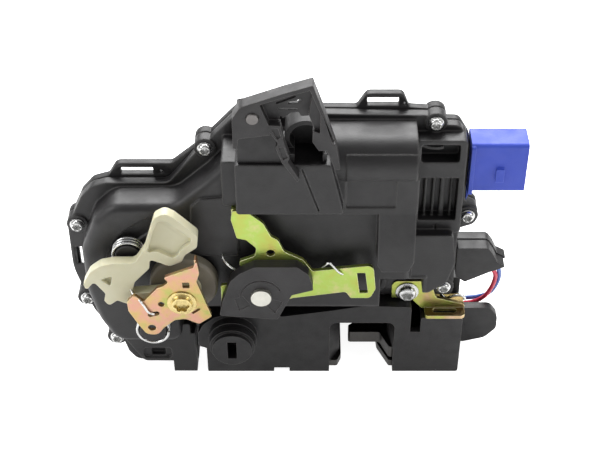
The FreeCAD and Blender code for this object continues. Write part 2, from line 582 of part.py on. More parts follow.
def spring_in_latch(label, x, y):
    radius = size["pin_r"] + 0.9
    base = size["claw_low"] + size["claw_thick"] + 0.7
    return solid(label, coil(V(x, y, base), V(0, 0, 1), radius, 0.45, 3, 1.05))


def key_coupling():
    """The drum that the key cylinder turns, stepped, with its blade slot."""
    body = new_body("key_coupling")
    x, z = -size["key_x"], size["key_z"]
    pad(body, circle(x, z, size["drum_r"]), "drum_back + fit_gap", "drum_front")
    pad(body, circle(x, z, size["drum_rim_r"]), "collar_front + fit_gap", "drum_front - 2")
    half_x, half_z = size["key_wide"] / 2, size["key_tall"] / 2
    pocket(body, box(x - half_x, z - half_z, x + half_x, z + half_z), "drum_front - 8", "drum_front")
    return body


def latch_bracket():
    """The plated steel bracket: upright tab, sloping web and the ledge with its long hole."""
    body = new_body("latch_bracket")
    low = size["ledge_low"]
    pad(body, rounded([(9.8, 36.2, 0.5), (17, 36.2, 1), (21.8, low + 1, 1), (38.2, low + 1, 0.5),
                       (38.2, low + 3, 1), (27, 36, 2), (24.8, 43, 2), (22.5, 44.6, 1), (11, 44.6, 2.5),
                       (9.8, 42.6, 1)]), "bracket_back", "bracket_back + bracket_thick")
    ledge = rounded([(22.8, -26.7, 1.2), (38.2, -26.7, 2), (38.2, -14, 1), (22.8, -14, 1)])
    pad(body, ledge, "ledge_low", "ledge_low + bracket_thick", "XY_Plane")
    pocket(body, bar(27, -23.6, 34, -23.6, 1.2), "ledge_low", "ledge_low + bracket_thick", "XY_Plane")
    pocket(body, circle(*BRACKET_SCREW, size["bracket_screw_r"] + 0.05), "bracket_back",
           "bracket_back + bracket_thick")
    return body


def bracket_screw():
    front = size["bracket_back"] + size["bracket_thick"]
    return solid("bracket_screw", screw(*BRACKET_SCREW, front, size["bracket_screw_r"],
                                        size["bracket_head_r"], 3.2, 8))


def handle_lever():
    """The outer handle's lever on its rivet: upper horn, left nose and the arm with its slot."""
    body = new_body("handle_lever")
    x, z = -size["rivet_x"], size["rivet_z"]
    outline = [(-48.6, 92.6, 1), (-49.2, 88.7, 1), (-47.4, 80.2, 1), (-44.2, 79.4, 1.5), (-40.6, 75.6, 2),
               (-41.2, 71.8, 2), (-46.8, 69.4, 1), (-46.7, 67.2, 1), (-44.6, 65.6, 1), (-50, 58, 1),
               (-54, 57.6, 0.8), (-54, 47.6, 0.5), (-49, 49.5, 1), (-38, 47.5, 4), (-27.8, 51.5, 2),
               (-8.4, 54.6, 1.5), (-6.6, 51.5, 1), (0.6, 51.5, 2), (2.4, 56, 2), (1.3, 67.4, 2.5),
               (-20.6, 64.6, 1), (-24, 70, 3), (-30.7, 73.8, 2), (-32.9, 79.2, 1.5), (-35.3, 80.8, 1.5),
               (-38, 87, 3), (-43.5, 92.2, 4)]
    pad(body, rounded(outline), "handle_back", "handle_back + handle_thick")
    pad(body, box(-49, 88.6, -47.4, 92.4, 0.5), "panel_front + 0.6", "handle_back + 0.2")
    slot = rounded([(-4.6, 63.8, 0.4), (-1.5, 63.8, 0.4), (-0.3, 54, 0.4), (-3.4, 54, 0.4)])
    pocket(body, circle(x, z, size["rivet_r"] + size["run_gap"]) + circle(-35.6, 73.3, 1.5) + slot,
           "handle_back", "handle_back + handle_thick")
    return body


def lever_cover():
    """The dark moulded cover riveted over the handle lever and its spring."""
    body = new_body("lever_cover")
    x, z = -size["rivet_x"], size["rivet_z"]
    outline = [(-54.7, 46.8, 1), (-33.4, 44.9, 1), (-28.1, 57, 1), (-20.4, 59.4, 0.6), (-20.7, 62.1, 1.5),
               (-22.1, 66.9, 2.5), (-26.1, 70.4, 2), (-41.3, 70.4, 3), (-46.8, 67.2, 3), (-50.1, 63.8, 3),
               (-53.4, 53.6, 3)]
    pad(body, rounded(outline), "cover_back", "cover_front")
    marks = rounded([(-49, 55.2), (-45.8, 56.4), (-43, 52), (-47.4, 49.2)])
    marks += rounded([(-34.8, 54.8), (-31.4, 53.6), (-34.3, 48), (-37.8, 52)])
    pocket(body, marks + arc_band(x, z, 7, 7.7, 20, 200), "cover_front - 0.35", "cover_front")
    pocket(body, circle(x, z, size["spring_well_r"]), "cover_back", "cover_front - 1.5")
    pocket(body, circle(x, z, size["rivet_r"] + 0.01), "cover_back", "cover_front")
    return body


def cover_rivet():
    x, z = -size["rivet_x"], size["rivet_z"]
    shank = post(x, z, size["rivet_r"], size["bulge_front"] - 3, size["cover_front"])
    head = post(x, z, size["rivet_head_r"], size["cover_front"], size["rivet_front"])
    return solid("cover_rivet", shank.fuse(head).removeSplitter())


def inner_lever():
    """The stamped inner lever on the bolt, with its holes and the two edges bent back."""
    body = new_body("inner_lever")
    x, z = -size["bolt_x"], size["bolt_z"]
    outline = [(-61.4, 77.3, 0.4), (-62.6, 73.3, 1), (-73.4, 68.6, 0.6), (-71.9, 66.5, 1), (-73.8, 64.5, 1.2),
               (-76.2, 63.4, 1), (-81.5, 56.9, 0.6), (-84.6, 60.2, 1), (-87.4, 57, 1.5), (-87.2, 52.5, 3),
               (-84, 45.5, 3), (-81.5, 41, 2.5), (-77.5, 40.4, 3), (-75, 44, 2), (-70.7, 48, 2),
               (-66.7, 48.6, 3), (-62, 46, 1), (-57.2, 49.8, 1), (-61.9, 66.7, 1), (-60.7, 70.5, 1)]
    pad(body, rounded(outline), "inner_back", "inner_back + inner_thick")
    pad(body, bar(-61.6, 46.9, -58.4, 49.5, 0.6) + bar(-61.9, 75.4, -61.4, 69.4, 0.5),
        "release_front + 0.5", "inner_back + 0.2")
    holes = circle(x, z, size["bolt_r"] + size["run_gap"]) + box(-67, 63.7, -64.4, 66.3, 0.3)
    holes += circle(-75.1, 55.8, 1.2) + bar(-79.4, 50.5, -77, 51.3, 1) + circle(-79.3, 44.1, 1.5)
    holes += bar(-63.9, 51.6, -61.6, 53.4, 0.5)
    pocket(body, holes, "inner_back", "inner_back + inner_thick")
    return body


def release_lever():
    """The nylon lever behind it: dished paddle, hooked arm and the hub on the bolt."""
    body = new_body("release_lever")
    x, z = -size["bolt_x"], size["bolt_z"]
    outline = [(-71.9, 94.4, 3), (-75.6, 92, 3), (-80, 77.8, 3), (-84, 71.3, 3), (-91.7, 71.3, 4),
               (-96.3, 70.2, 4), (-100.4, 66.9, 4), (-103.2, 61.4, 1), (-102.4, 58.5, 1), (-99.3, 62.6, 1),
               (-95.6, 56.9, 2), (-96.4, 53.5, 1), (-94.9, 50.9, 1.2), (-91.7, 53.6, 1), (-87.5, 51.6, 1),
               (-84.6, 62.5, 2), (-78.8, 69.1, 2), (-78.4, 73.4, 1), (-71.4, 70.2, 2), (-67.1, 72.2, 1.5),
               (-65.7, 75.4, 1.5), (-61.3, 78.9, 2), (-60.8, 84, 2.5), (-68.7, 92.4, 3)]
    pad(body, rounded(outline), "release_back", "release_front")
    pad(body, bar(-88, 54.4, x, z, 2.2), "release_back", "release_front")
    pad(body, circle(x, z, size["hub_r"]), "release_back", "release_front")
    dish = rounded([(-74.2, 90.8, 1), (-76.4, 86.1, 3), (-79.2, 76.2, 0.8), (-75.6, 77.2, 3),
                    (-70, 73.8, 1.5), (-68.4, 75, 1), (-67.4, 77.2, 1), (-63.6, 80.6, 1.5),
                    (-63, 83, 1.5), (-71.2, 90.9, 1.5)])
    pocket(body, dish + rounded([(-97, 63.5, 0.5), (-92.5, 65.5, 0.5), (-93.5, 60.5, 0.5)]),
           "release_front - 1.8", "release_front")
    pocket(body, circle(x, z, size["bolt_r"] + size["run_gap"]), "release_back", "release_front")
    return body


def return_wheel():
    """The moulded wheel at the back of the stack, keyed to the inner lever."""
    body = new_body("return_wheel")
    x, z = -size["bolt_x"], size["bolt_z"]
    pad(body, circle(x, z, size["wheel_r"]), "wheel_back", "wheel_front")
    round_edges(body, "wheel_round", at_depth(size["wheel_front"]))
    pocket(body, circle(x, z, size["bolt_r"] + size["run_gap"]), "wheel_back", "wheel_front")
    return body


def lever_bolt():
    """The shoulder bolt that carries wheel and levers, with a star recess."""
    x, z = -size["bolt_x"], size["bolt_z"]
    gap = size["fit_gap"]
    shank = post(x, z, size["bolt_r"], size["bulge_front"] - 3, size["bolt_front"] - 0.5)
    spacer = post(x, z, size["bolt_head_r"], size["release_front"] + gap, size["inner_back"] - gap)
    head = post(x, z, size["bolt_head_r"], size["inner_back"] + size["inner_thick"] + gap,
                size["bolt_front"])
    recess = post(x, z, size["bolt_head_r"] * 0.45, size["bolt_front"] - 1.3, size["bolt_front"])
    return solid("lever_bolt", shank.fuse([spacer, head]).cut(recess).removeSplitter())


def lever_spring(label, x, z, mean_r, back):
    """A torsion spring of three open turns round its post."""
    wire = size["wire_r"]
    start = V(x, -back - wire - 0.1, z)
    return solid(label, coil(start, V(0, -1, 0), mean_r, wire, 3, size["coil_pitch"]))


def connector_body():
    """The keyed plug socket, open towards +X."""
    body = new_body("connector_body")
    front, back = -size["plug_front"], -size["plug_back"]
    low, high, wall = size["plug_low"], size["plug_high"], size["plug_wall"]
    pad(body, box(front, low, back, high, 1.4), "plug_start", "plug_end", "YZ_Plane")
    pad(body, box(front - 0.7, low - 1, back + 0.5, high - 0.6, 1), "plug_start", "plug_start + 1.4",
        "YZ_Plane")
    pad(body, rounded([(36, low + 4), (34.9, low + 4), (34.9, low - 6.8), (35.9, low - 3.4, 0.6)]),
        "plug_back + 1", "plug_front - 4")
    pad(body, box(44, low + 5.1, 46.9, low + 10.8, 0.4), "plug_front - 0.5", "plug_front + 1.1")
    pocket(body, box(front + wall, low + wall, back - wall, high - wall, 0.6), "plug_floor", "plug_end",
           "YZ_Plane")
    return body


def connector_pins():
    """Two rows of blade contacts that stand in the socket."""
    pins = []
    middle = -(size["plug_front"] + size["plug_back"]) / 2
    for row in (-1.6, 1.6):
        for i in range(5):
            z = size["plug_low"] + 3.5 + 3.4 * i
            corner = V(size["plug_floor"], middle + row - 0.4, z)
            pins.append(Part.makeBox(size["pin_length"], 0.8, 0.8, corner))
    return solid("connector_pins", Part.makeCompound(pins))


def switch_outline():
    left = size["box_left"]
    return [(left, 45.4, 0.6), (left + 0.4, 43.4, 0.8), (left + 4.4, 40.4, 1), (46.5, 45.1, 1),
            (54.2, 48.7, 0.6), (50, 51, 1), (48.3, 54.6, 1), (45.9, 58.2, 2.5), (left, 58.2, 1)]


def switch_box():
    body = new_body("switch_box")
    pad(body, rounded(switch_outline()), "box_back", "box_split")
    pocket(body, rounded(inset(switch_outline(), 1.8)), "box_back + 1.2", "box_split")
    for route in (RED_ROUTE, BLUE_ROUTE):
        hole = circle(route[0][0], -size["lead_depth"], size["cable_r"] + 0.05)
        pocket(body, hole, "44", str(route[0][2] + 0.1), "XY_Plane")
    return body


def switch_lid():
    body = new_body("switch_lid")
    pad(body, rounded(inset(switch_outline(), 0.4)), "box_split", "box_front")
    pocket(body, rounded(inset(switch_outline(), 2.2)), "box_split", "box_front - 1.8")
    return body


def cable_bracket():
    """The hinge plate and the arched seat for the cable end, on top of the centre block."""
    body = new_body("cable_bracket")
    x, z = -size["clip_x"], size["clip_z"]
    top = size["block_high"] + size["seat_gap"]
    arch_x, arch_z, arch_r = -size["arch_x"], size["arch_z"], size["arch_r"]
    back, right = "lug_back - 6", arch_x + arch_r
    pad(body, box(-46, top, right, top + 3, 0.5), back, "lug_front - 0.7")
    pad(body, rounded([(-46, top, 0.5), (-30.6, top, 0.5), (-33.2, 129, 1.5), (-35.9, 139.2, 3),
                       (-41, 141.2, 3), (-45.6, 138.6, 3)]), "lug_back", "lug_front")
    pad(body, circle(arch_x, arch_z, arch_r), back, "arch_front")
    pad(body, box(arch_x - arch_r, top, right, arch_z), back, "arch_front")
    pocket(body, circle(arch_x, arch_z, arch_r - 1.6), "lug_back - 3", "arch_front")
    pocket(body, box(arch_x - 3.8, top, right - 1.4, arch_z + 0.5), "lug_back - 3", "lug_front")
    pocket(body, box(arch_x - arch_r - 1, top - 9, right + 1, top), back, "lug_front")
    pocket(body, circle(x, z, size["clip_pin_r"] + 0.01), "lug_back", "lug_front")
    return body


def cable_retainer():
    """The hinged cover over the cable end: roof, cheek, back and two long arms."""
    body = new_body("cable_retainer")
    x, z = -size["clip_x"], size["clip_z"]
    back = "lug_front + fit_gap"
    frame = [(-46.8, 124.9, 0.3), (-46.8, 136.6, 3), (-44, 141.2, 4), (-29.8, 146.5), (-20.7, 149.5, 0.5),
             (-17.4, 139.7), (-12.8, 124.6), (-11.6, 116.3, 0.4), (-13.3, 116.3, 0.4), (-18.4, 130.8, 0.5),
             (-18.1, 138, 1), (-21.6, 147.6, 0.3), (-30.2, 144.9), (-37.8, 142.1, 0.3), (-35, 134.3),
             (-34.6, 130.4, 0.3), (-45, 128.8, 0.8), (-45.5, 124.9, 0.3)]
    pad(body, rounded(frame), back, "clip_front")
    web = [(-36.6, 131, 0.3), (-33.2, 131.4, 0.5), (-32.2, 133, 0.5), (-31, 136.3, 0.5),
           (-30.6, 134.6, 0.3), (-27.7, 136.9, 1), (-25.3, 137.1, 0.5), (-24.5, 135.6, 0.5),
           (-22.3, 135.7, 0.5), (-19.5, 138.5, 0.3), (-18.2, 140.2), (-21, 148.6), (-30, 145.8),
           (-37.2, 143.2)]
    pad(body, rounded(web), back, "lug_front + fit_gap + clip_wall")
    # Left arm and the catch beside the right one, both in front of the block
    arm = [(-36, 134.2), (-34.9, 131.8, 0.4), (-32, 127, 0.4), (-32.9, 125.3, 0.4), (-30.9, 119.2, 0.6),
           (-25.8, 111, 0.3), (-25.1, 112.2, 0.3), (-29.1, 119.6, 0.4), (-28.3, 120.8, 0.4),
           (-30.5, 128.8, 0.4), (-30.3, 129.6, 0.3), (-31.2, 134, 0.3)]
    catch = [(-20.7, 132, 0.4), (-16.8, 130.4), (-15.4, 124.1), (-18.7, 124.1, 0.4), (-20.8, 127.6, 0.5)]
    pad(body, rounded(arm) + rounded(catch), "block_front + fit_gap", "clip_front")
    gusset = [(-20.6, 147.2), (-17.6, 138.8), (-17.7, 131.6), (-19.9, 130.9, 0.3), (-22, 137.2, 0.3)]
    pad(body, rounded(gusset), back, "clip_front - 1.6")
    # Openings in the back web, the long slot of the right arm and the panels of the left one
    pocket(body, rounded([(-28.9, 140.4), (-28.6, 141.1), (-26.1, 141.5), (-24.7, 142.3), (-24.3, 141.8),
                          (-25.5, 140.6)]) + bar(-31.8, 138.3, -26, 138.3, 0.3), back, "clip_front")
    pocket(body, bar(-32.2, 140.8, -26.6, 143.2, 0.45), "clip_front - 4", "clip_front")
    panels = rounded([(-34.2, 132.8), (-32, 133), (-31.1, 129.4), (-32.2, 128.4)])
    panels += rounded([(-32.1, 125.4), (-30.2, 125.6), (-28.9, 121.2), (-30.5, 120.2)])
    slot = rounded([(-18, 139.8), (-17.5, 138.6), (-13.4, 126.7), (-14.2, 126.7)])
    pocket(body, panels, "clip_front - 0.5", "clip_front")
    pocket(body, slot, "clip_front - 2", "clip_front")
    pocket(body, circle(x, z, size["clip_pin_r"] + size["run_gap"]), back, "clip_front")
    return body


def retainer_pin():
    return solid("retainer_pin", post(-size["clip_x"], size["clip_z"], size["clip_pin_r"],
                                      size["clip_back"], size["clip_front"] + 0.6))


def gear(label, x, z, teeth, back, front):
    """A spur gear with straight-flanked teeth and a bore for its axle."""
    module = size["gear_module"]
    root, tip = module * (teeth / 2 - 1.2), gear_tip(teeth)
    points = []
    for i in range(teeth):
        for turn, radius in ((-0.30, root), (-0.14, tip), (0.14, tip), (0.30, root)):
            angle = 2 * math.pi * (i + turn) / teeth
            points.append((x + radius * math.cos(angle), z + radius * math.sin(angle)))
    body = new_body(label)
    pad(body, rounded(points), back, front)
    pocket(body, circle(x, z, size["axle_r"] + size["run_gap"]), back, front)
    return body


def worm(label, centre, axis, start):
    """A worm on its motor shaft: core with thread collars, along an axis from the motor's face."""
    collars = []
    along = start + 3
    while along < start + 3 + size["worm_length"] - 1:
        base = centre + axis * along
        collars.append(Part.makeCone(size["worm_r"] * 0.7, size["worm_r"], 0.8, base, axis))
        collars.append(Part.makeCone(size["worm_r"], size["worm_r"] * 0.7, 0.8, base + axis * 0.8, axis))
        along += 2.4
    core = Part.makeCylinder(size["worm_r"] * 0.7, size["worm_length"], centre + axis * (start + 3), axis)
    shaft = Part.makeCylinder(size["shaft_r"], size["worm_length"] + 6, centre + axis * (start + 0.2), axis)
    return solid(label, shaft.fuse([core] + collars).removeSplitter())


def motor(label, centre, axis, radius, flat, length):
    """A flat-sided motor can with a bearing boss at its shaft end, its face at the centre point."""
    can = Part.makeCylinder(radius, length, centre, axis * -1)
    side = 2 * radius + 2
    block = Part.makeBox(side, 2 * flat, side, V(-side / 2, -flat, 0))
    block.Placement = FreeCAD.Placement(centre + axis * (-length - 1), FreeCAD.Rotation(V(0, 0, 1), axis))
    return solid(label, can.common(block).removeSplitter())


def tube(points, radius):
    """A round tube along straight runs joined by tangent arcs as large as the runs allow."""
    nodes = [V(*point) for point in points]
    edges = []
    last = nodes[0]
    for before, here, after in zip(nodes, nodes[1:], nodes[2:]):
        back, on = before - here, after - here
        turn = math.pi - back.getAngle(on)
        reach = 0.45 * min(back.Length, on.Length)
        bend = reach / math.tan(turn / 2)
        start, end = here + back.normalize() * reach, here + on.normalize() * reach
        inward = (back + on).normalize()
        middle = here + inward * (bend / math.cos(turn / 2) - bend)
        edges += [Part.LineSegment(last, start).toShape(), Part.Arc(start, middle, end).toShape()]
        last = end
        print("bend radius", round(bend, 1))
    edges.append(Part.LineSegment(last, nodes[-1]).toShape())
    path = Part.Wire(edges)
    ring = Part.Wire([Part.Circle(nodes[0], nodes[1] - nodes[0], radius).toShape()])
    made = path.makePipeShell([ring], True, True)
    print("tube volume", round(made.Volume, 1), "of", round(math.pi * radius ** 2 * path.Length, 1))
    return made


def wire(label, route):
    return solid(label, tube(route, size["cable_r"]))


def position_switches():
    """Two sealed switches on the rear tray that sense the gear and the latch."""
    floor = size["shell_rear"] - size["wall"]
    made = []
    for x, z in ((-44, 84), (-44, 60)):
        case = Part.makeBox(9, 7, 5, V(x, floor - 7, z))
        button = Part.makeCylinder(0.9, 1.2, V(x + 4.5, floor - 3.5, z + 5), V(0, 0, 1))
        made.append(case.fuse(button))
    return solid("position_switches", Part.makeCompound(made))


def lead_frame():
    """The carrier of the conductor strips between plug, motors and switches."""
    body = new_body("lead_frame")
    outline = [(-30, 50, 1), (24, 50, 1), (24, 104, 1), (12, 104, 1), (12, 62, 1), (-30, 62, 1)]
    pad(body, rounded(outline), "wall - shell_rear + 2.2", "wall - shell_rear + 3.8")
    pegs = [edge for x, z in ((-26, 56), (18, 56), (18, 98)) for edge in circle(x, z, 1.6)]
    pad(body, pegs, "wall - shell_rear", "wall - shell_rear + 2.4")
    return body


def gear_axles():
    """The steel axles of the two gears, pressed into the rear tray."""
    floor = size["wall"] - size["shell_rear"]
    (lock_x, lock_z), (safe_x, safe_z) = gear_centres()
    lock = post(lock_x, lock_z, size["axle_r"], floor, size["motor_depth"] + 3.5)
    safe = post(safe_x, safe_z, size["axle_r"], floor, size["safe_depth"] + 3.5)
    return solid("gear_axles", Part.makeCompound([lock, safe]))


def lock_slider():
    """The slide that the lock gear drives; at the end of its travel it stays short of the axle."""
    body = new_body("lock_slider")
    x, axle_z = gear_centres()[0]
    top = axle_z - size["axle_r"] - fit() - size["slide_travel"]
    back, front = "motor_depth - gear_thick / 2 - 3.3", "motor_depth - gear_thick / 2 - 0.3"
    pad(body, box(x - 4, 44, x + 4, top, 1), back, front)
    pocket(body, bar(x, top - 14, x, top - 4, 1.6), back, front)
    return body


for make in (housing_front, housing_rear, housing_seal, housing_screws, latch_housing, latch_plate, claw,
             pawl, key_coupling, latch_bracket, bracket_screw, handle_lever, lever_cover, cover_rivet,
             inner_lever, release_lever, return_wheel, lever_bolt, connector_body, connector_pins,
             switch_box, switch_lid, cable_bracket, cable_retainer, retainer_pin, position_switches,
             lead_frame, gear_axles, lock_slider):
    piece(make())

for name, (px, py) in zip(("claw", "pawl"), pin_places()):
    piece(pin(name + "_pin", px, py))
    piece(spring_in_latch(name + "_spring", px, py))

piece(lever_spring("upper_spring", -size["upper_coil_x"], size["upper_coil_z"], size["upper_coil_r"],
                   size["bulge_front"]))
piece(lever_spring("lower_spring", -size["lower_coil_x"], size["lower_coil_z"], size["lower_coil_r"],
                   size["bulge_front"]))
well = V(-size["rivet_x"], -size["cover_back"] - 0.5, size["rivet_z"])
piece(solid("handle_spring", coil(well, V(0, -1, 0), size["spring_well_r"] - 0.9, 0.4, 2, 0.9)))

lock_face = V(size["motor_x"] - size["motor_length"], -size["motor_depth"], size["motor_z"])
piece(motor("lock_motor", lock_face, V(-1, 0, 0), size["motor_r"], size["motor_flat"], size["motor_length"]))
piece(worm("lock_worm", lock_face, V(-1, 0, 0), 0))
safe_face = V(-size["safe_x"], -size["safe_depth"], size["safe_z"] - size["safe_length"])
piece(motor("safe_motor", safe_face, V(0, 0, -1), size["safe_r"], size["safe_r"] - 1.5, size["safe_length"]))
piece(worm("safe_worm", safe_face, V(0, 0, -1), 0))
LOCK_GEAR, SAFE_GEAR = gear_centres()
piece(gear("lock_gear", *LOCK_GEAR, int(size["lock_teeth"]), "motor_depth - gear_thick / 2",
           "motor_depth + gear_thick / 2"))
piece(gear("safe_gear", *SAFE_GEAR, int(size["safe_teeth"]), "safe_depth - gear_thick / 2",
           "safe_depth + gear_thick / 2"))
piece(wire("wire_red", RED_ROUTE))
piece(wire("wire_blue", BLUE_ROUTE))

doc.recompute()
for item in doc.Objects:
    if "Invalid" in item.State or "Error" in item.State:
        raise RuntimeError(f"{item.Label}: {item.State}")
os.makedirs("parts", exist_ok=True)
for item in PIECES:
    shape = item.Shape
    if shape.isNull() or not shape.isValid():
        raise RuntimeError(f"{item.Label} has no valid shape")
    print(item.Label, len(shape.Solids), round(shape.Volume))
    shape.exportStep(f"parts/{item.Label}.step")
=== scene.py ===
import bpy
import bmesh
import json
import math
from mathutils import Matrix, Vector


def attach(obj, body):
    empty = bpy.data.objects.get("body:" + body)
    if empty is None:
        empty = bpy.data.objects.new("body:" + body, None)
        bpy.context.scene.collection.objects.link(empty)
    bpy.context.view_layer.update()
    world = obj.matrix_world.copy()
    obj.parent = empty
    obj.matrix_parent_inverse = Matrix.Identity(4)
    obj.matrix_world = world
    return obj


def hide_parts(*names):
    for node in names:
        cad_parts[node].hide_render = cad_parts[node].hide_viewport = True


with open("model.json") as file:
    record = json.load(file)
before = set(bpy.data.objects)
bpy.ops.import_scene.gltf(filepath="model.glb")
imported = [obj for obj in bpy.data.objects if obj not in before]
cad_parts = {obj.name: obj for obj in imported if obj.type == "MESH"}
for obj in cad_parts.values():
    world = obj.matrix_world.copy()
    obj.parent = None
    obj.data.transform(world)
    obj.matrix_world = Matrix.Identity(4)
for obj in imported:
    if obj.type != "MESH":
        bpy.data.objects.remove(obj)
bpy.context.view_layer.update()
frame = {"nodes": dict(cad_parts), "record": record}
scene = bpy.context.scene
MM = 0.001

# Camera, standing where the photograph was taken from

SENSOR = 36             # mm
FOCAL_LENGTH = 1300     # in pixels of the photograph
PHOTO_WIDTH = 614       # pixels
CAMERA_TILT = 50        # degrees from straight down

camera_data = bpy.data.cameras.new("camera")
camera_data.sensor_width = SENSOR
camera_data.lens = SENSOR * FOCAL_LENGTH / PHOTO_WIDTH
camera_data.clip_start = 0.01
camera = bpy.data.objects.new("camera", camera_data)
camera.location = (-0.0226, -0.38822, 0.37730)
camera.rotation_euler = (math.radians(CAMERA_TILT), 0, 0)
scene.collection.objects.link(camera)
scene.camera = camera


# Materials

BEVEL_SAMPLES = 6
FACE, EDGE = 0.995, 0.8                         # the rounded normal against the flat one
NOISE_LOW, NOISE_HIGH = 0.3, 0.7                # a noise seldom leaves these
MIX_FIRST, MIX_SECOND, MIX_COLOUR = 6, 7, 2     # a colour mix node's sockets


class Paint:
    """One material's node tree, with short calls for the nodes that most surfaces share."""

    def __init__(self, name):
        self.material = bpy.data.materials.new(name)
        self.material.use_nodes = True
        self.tree = self.material.node_tree
        self.tree.nodes.clear()
        self.shader = self.add("ShaderNodeBsdfPrincipled")
        out = self.add("ShaderNodeOutputMaterial")
        self.join(self.shader.outputs[0], out.inputs["Surface"])
        self.place = self.add("ShaderNodeTexCoord").outputs["Object"]

    def add(self, kind, **settings):
        made = self.tree.nodes.new(kind)
        for name, value in settings.items():
            setattr(made, name, value)
        return made

    def join(self, out, into):
        self.tree.links.new(out, into)

    def noise(self, scale, detail=3, rough=0.55, stretch=None):
        """A noise whose scale is in features per metre."""
        made = self.add("ShaderNodeTexNoise")
        made.inputs["Scale"].default_value = scale
        made.inputs["Detail"].default_value = detail
        made.inputs["Roughness"].default_value = rough
        where = self.place
        if stretch:
            mapping = self.add("ShaderNodeMapping")
            mapping.inputs["Scale"].default_value = stretch
            self.join(where, mapping.inputs["Vector"])
            where = mapping.outputs[0]
        self.join(where, made.inputs["Vector"])
        return made.outputs["Fac"]

    def ramp(self, fac, stops):
        """A colour ramp; each stop is a position and a colour."""
        made = self.add("ShaderNodeValToRGB")
        band = made.color_ramp
        while len(band.elements) < len(stops):
            band.elements.new(0.5)
        for element, (position, colour) in zip(band.elements, stops):
            element.position = position
            element.color = (*colour, 1)
        self.join(fac, made.inputs["Fac"])
        return made.outputs["Color"]

    def span(self, value, low, high, start=0, end=1):
        """The value's range from start to end as one from low to high."""
        made = self.add("ShaderNodeMapRange")
        made.inputs["From Min"].default_value = start
        made.inputs["From Max"].default_value = end
        made.inputs["To Min"].default_value = low
        made.inputs["To Max"].default_value = high
        self.join(value, made.inputs["Value"])
        return made.outputs["Result"]

    def mix(self, fac, first, second):
        made = self.add("ShaderNodeMix", data_type="RGBA")
        self.join(fac, made.inputs["Factor"])
        self.feed(first, made.inputs[MIX_FIRST])
        self.feed(second, made.inputs[MIX_SECOND])
        return made.outputs[MIX_COLOUR]

    def calculate(self, operation, *values):
        made = self.add("ShaderNodeMath", operation=operation)
        for value, socket in zip(values, made.inputs):
            self.feed(value, socket)
        return made.outputs[0]

    def rounded(self, radius):
        """The normal as if edges were rounded by a radius."""
        bevel = self.add("ShaderNodeBevel", samples=BEVEL_SAMPLES)
        bevel.inputs["Radius"].default_value = radius
        return bevel.outputs[0]

    def edges(self, radius):
        """How far a rounded normal leaves the flat one: 0 on a face, rising at an edge."""
        normal = self.rounded(radius)
        flat = self.add("ShaderNodeNewGeometry")
        dot = self.add("ShaderNodeVectorMath", operation="DOT_PRODUCT")
        self.join(normal, dot.inputs[0])
        self.join(flat.outputs["Normal"], dot.inputs[1])
        return self.span(dot.outputs["Value"], 0, 1, FACE, EDGE)

    def roughness(self, noise, low, high):
        return self.span(noise, low, high, NOISE_LOW, NOISE_HIGH)

    def relief(self, heights, radius):
        """Bump from several heights, each with its depth in metres, on a rounded normal."""
        normal = self.rounded(radius)
        for height, depth in heights:
            bump = self.add("ShaderNodeBump")
            bump.inputs["Strength"].default_value = 1
            bump.inputs["Distance"].default_value = depth
            self.join(height, bump.inputs["Height"])
            self.join(normal, bump.inputs["Normal"])
            normal = bump.outputs[0]
        self.join(normal, self.shader.inputs["Normal"])

    def feed(self, value, socket):
        """A node's output, a colour or a number into a socket."""
        if isinstance(value, bpy.types.NodeSocket):
            self.join(value, socket)
        elif isinstance(value, tuple):
            socket.default_value = (*value, 1)
        else:
            socket.default_value = value

    def set(self, **values):
        """The shader's inputs by name, with underscores for the spaces."""
        for name, value in values.items():
            self.feed(value, self.shader.inputs[name.replace("_", " ")])


def moulded(name, colour, light, rough=(0.42, 0.6), grain=0.00005, radius=0.0004, edge_highlight=None):
    """Injection-moulded plastic: fine spark grain, flow clouds, and lighter edges, a painted
    highlight where rounded edges catch the light.
    """
    paint = Paint(name)
    clouds = paint.span(paint.noise(45, detail=4), 0, 1, 0.35, 0.7)
    body = paint.mix(clouds, colour, light)
    # Lighter edges: a painted highlight where rounded edges catch the light.
    highlight_mask = paint.span(paint.edges(radius), 0, 0.55)
    body = paint.mix(highlight_mask, body, edge_highlight or tuple(min(1, part * 2.6) for part in light))
    paint.set(Base_Color=body, Roughness=paint.roughness(paint.noise(220, detail=5), *rough))
    sparks = paint.noise(1400, detail=2, rough=0.7)
    ripples = paint.noise(160, detail=2)
    paint.relief([(sparks, grain), (ripples, 0.00006)], radius)
    return paint


def nylon(name, colour, shade, edge_highlight):
    """Unpigmented nylon: light passes a little way in, and its clouds are yellower."""
    paint = moulded(name, shade, colour, (0.38, 0.5), grain=0.000006, radius=0.0005, edge_highlight=edge_highlight)
    paint.set(Subsurface_Weight=0.25, Subsurface_Scale=0.0018)
    paint.shader.inputs["Subsurface Radius"].default_value = (1, 0.8, 0.5)
    return paint


def plated(name, stops, highlight_colour, top=None):
    """Chromated steel: a thin film whose colour drifts, with scratches, and paler edges that are a
    painted highlight.

    The top colour, where it is given, is painted on faces which look up as a painted shade."""
    paint = Paint(name)
    radius = 0.0003
    colour = paint.ramp(paint.noise(90, detail=5, rough=0.6), stops)
    if top:
        facing = paint.add("ShaderNodeSeparateXYZ")
        paint.join(paint.add("ShaderNodeNewGeometry").outputs["Normal"], facing.inputs[0])
        # Faces that look up turn to the top colour: a painted shade.
        colour = paint.mix(paint.span(facing.outputs["Z"], 0, 0.9, 0.3, 0.9), colour, top)
    # Paler edges: a painted highlight where rounded edges catch the light.
    colour = paint.mix(paint.edges(radius), colour, highlight_colour)
    scratches = paint.noise(700, detail=4, rough=0.7, stretch=(1, 1, 9))
    paint.set(Base_Color=colour, Metallic=0.85, Roughness=paint.roughness(scratches, 0.26, 0.42))
    dents = paint.noise(260, detail=2)
    paint.relief([(scratches, 0.000008), (dents, 0.00003)], radius)
    return paint


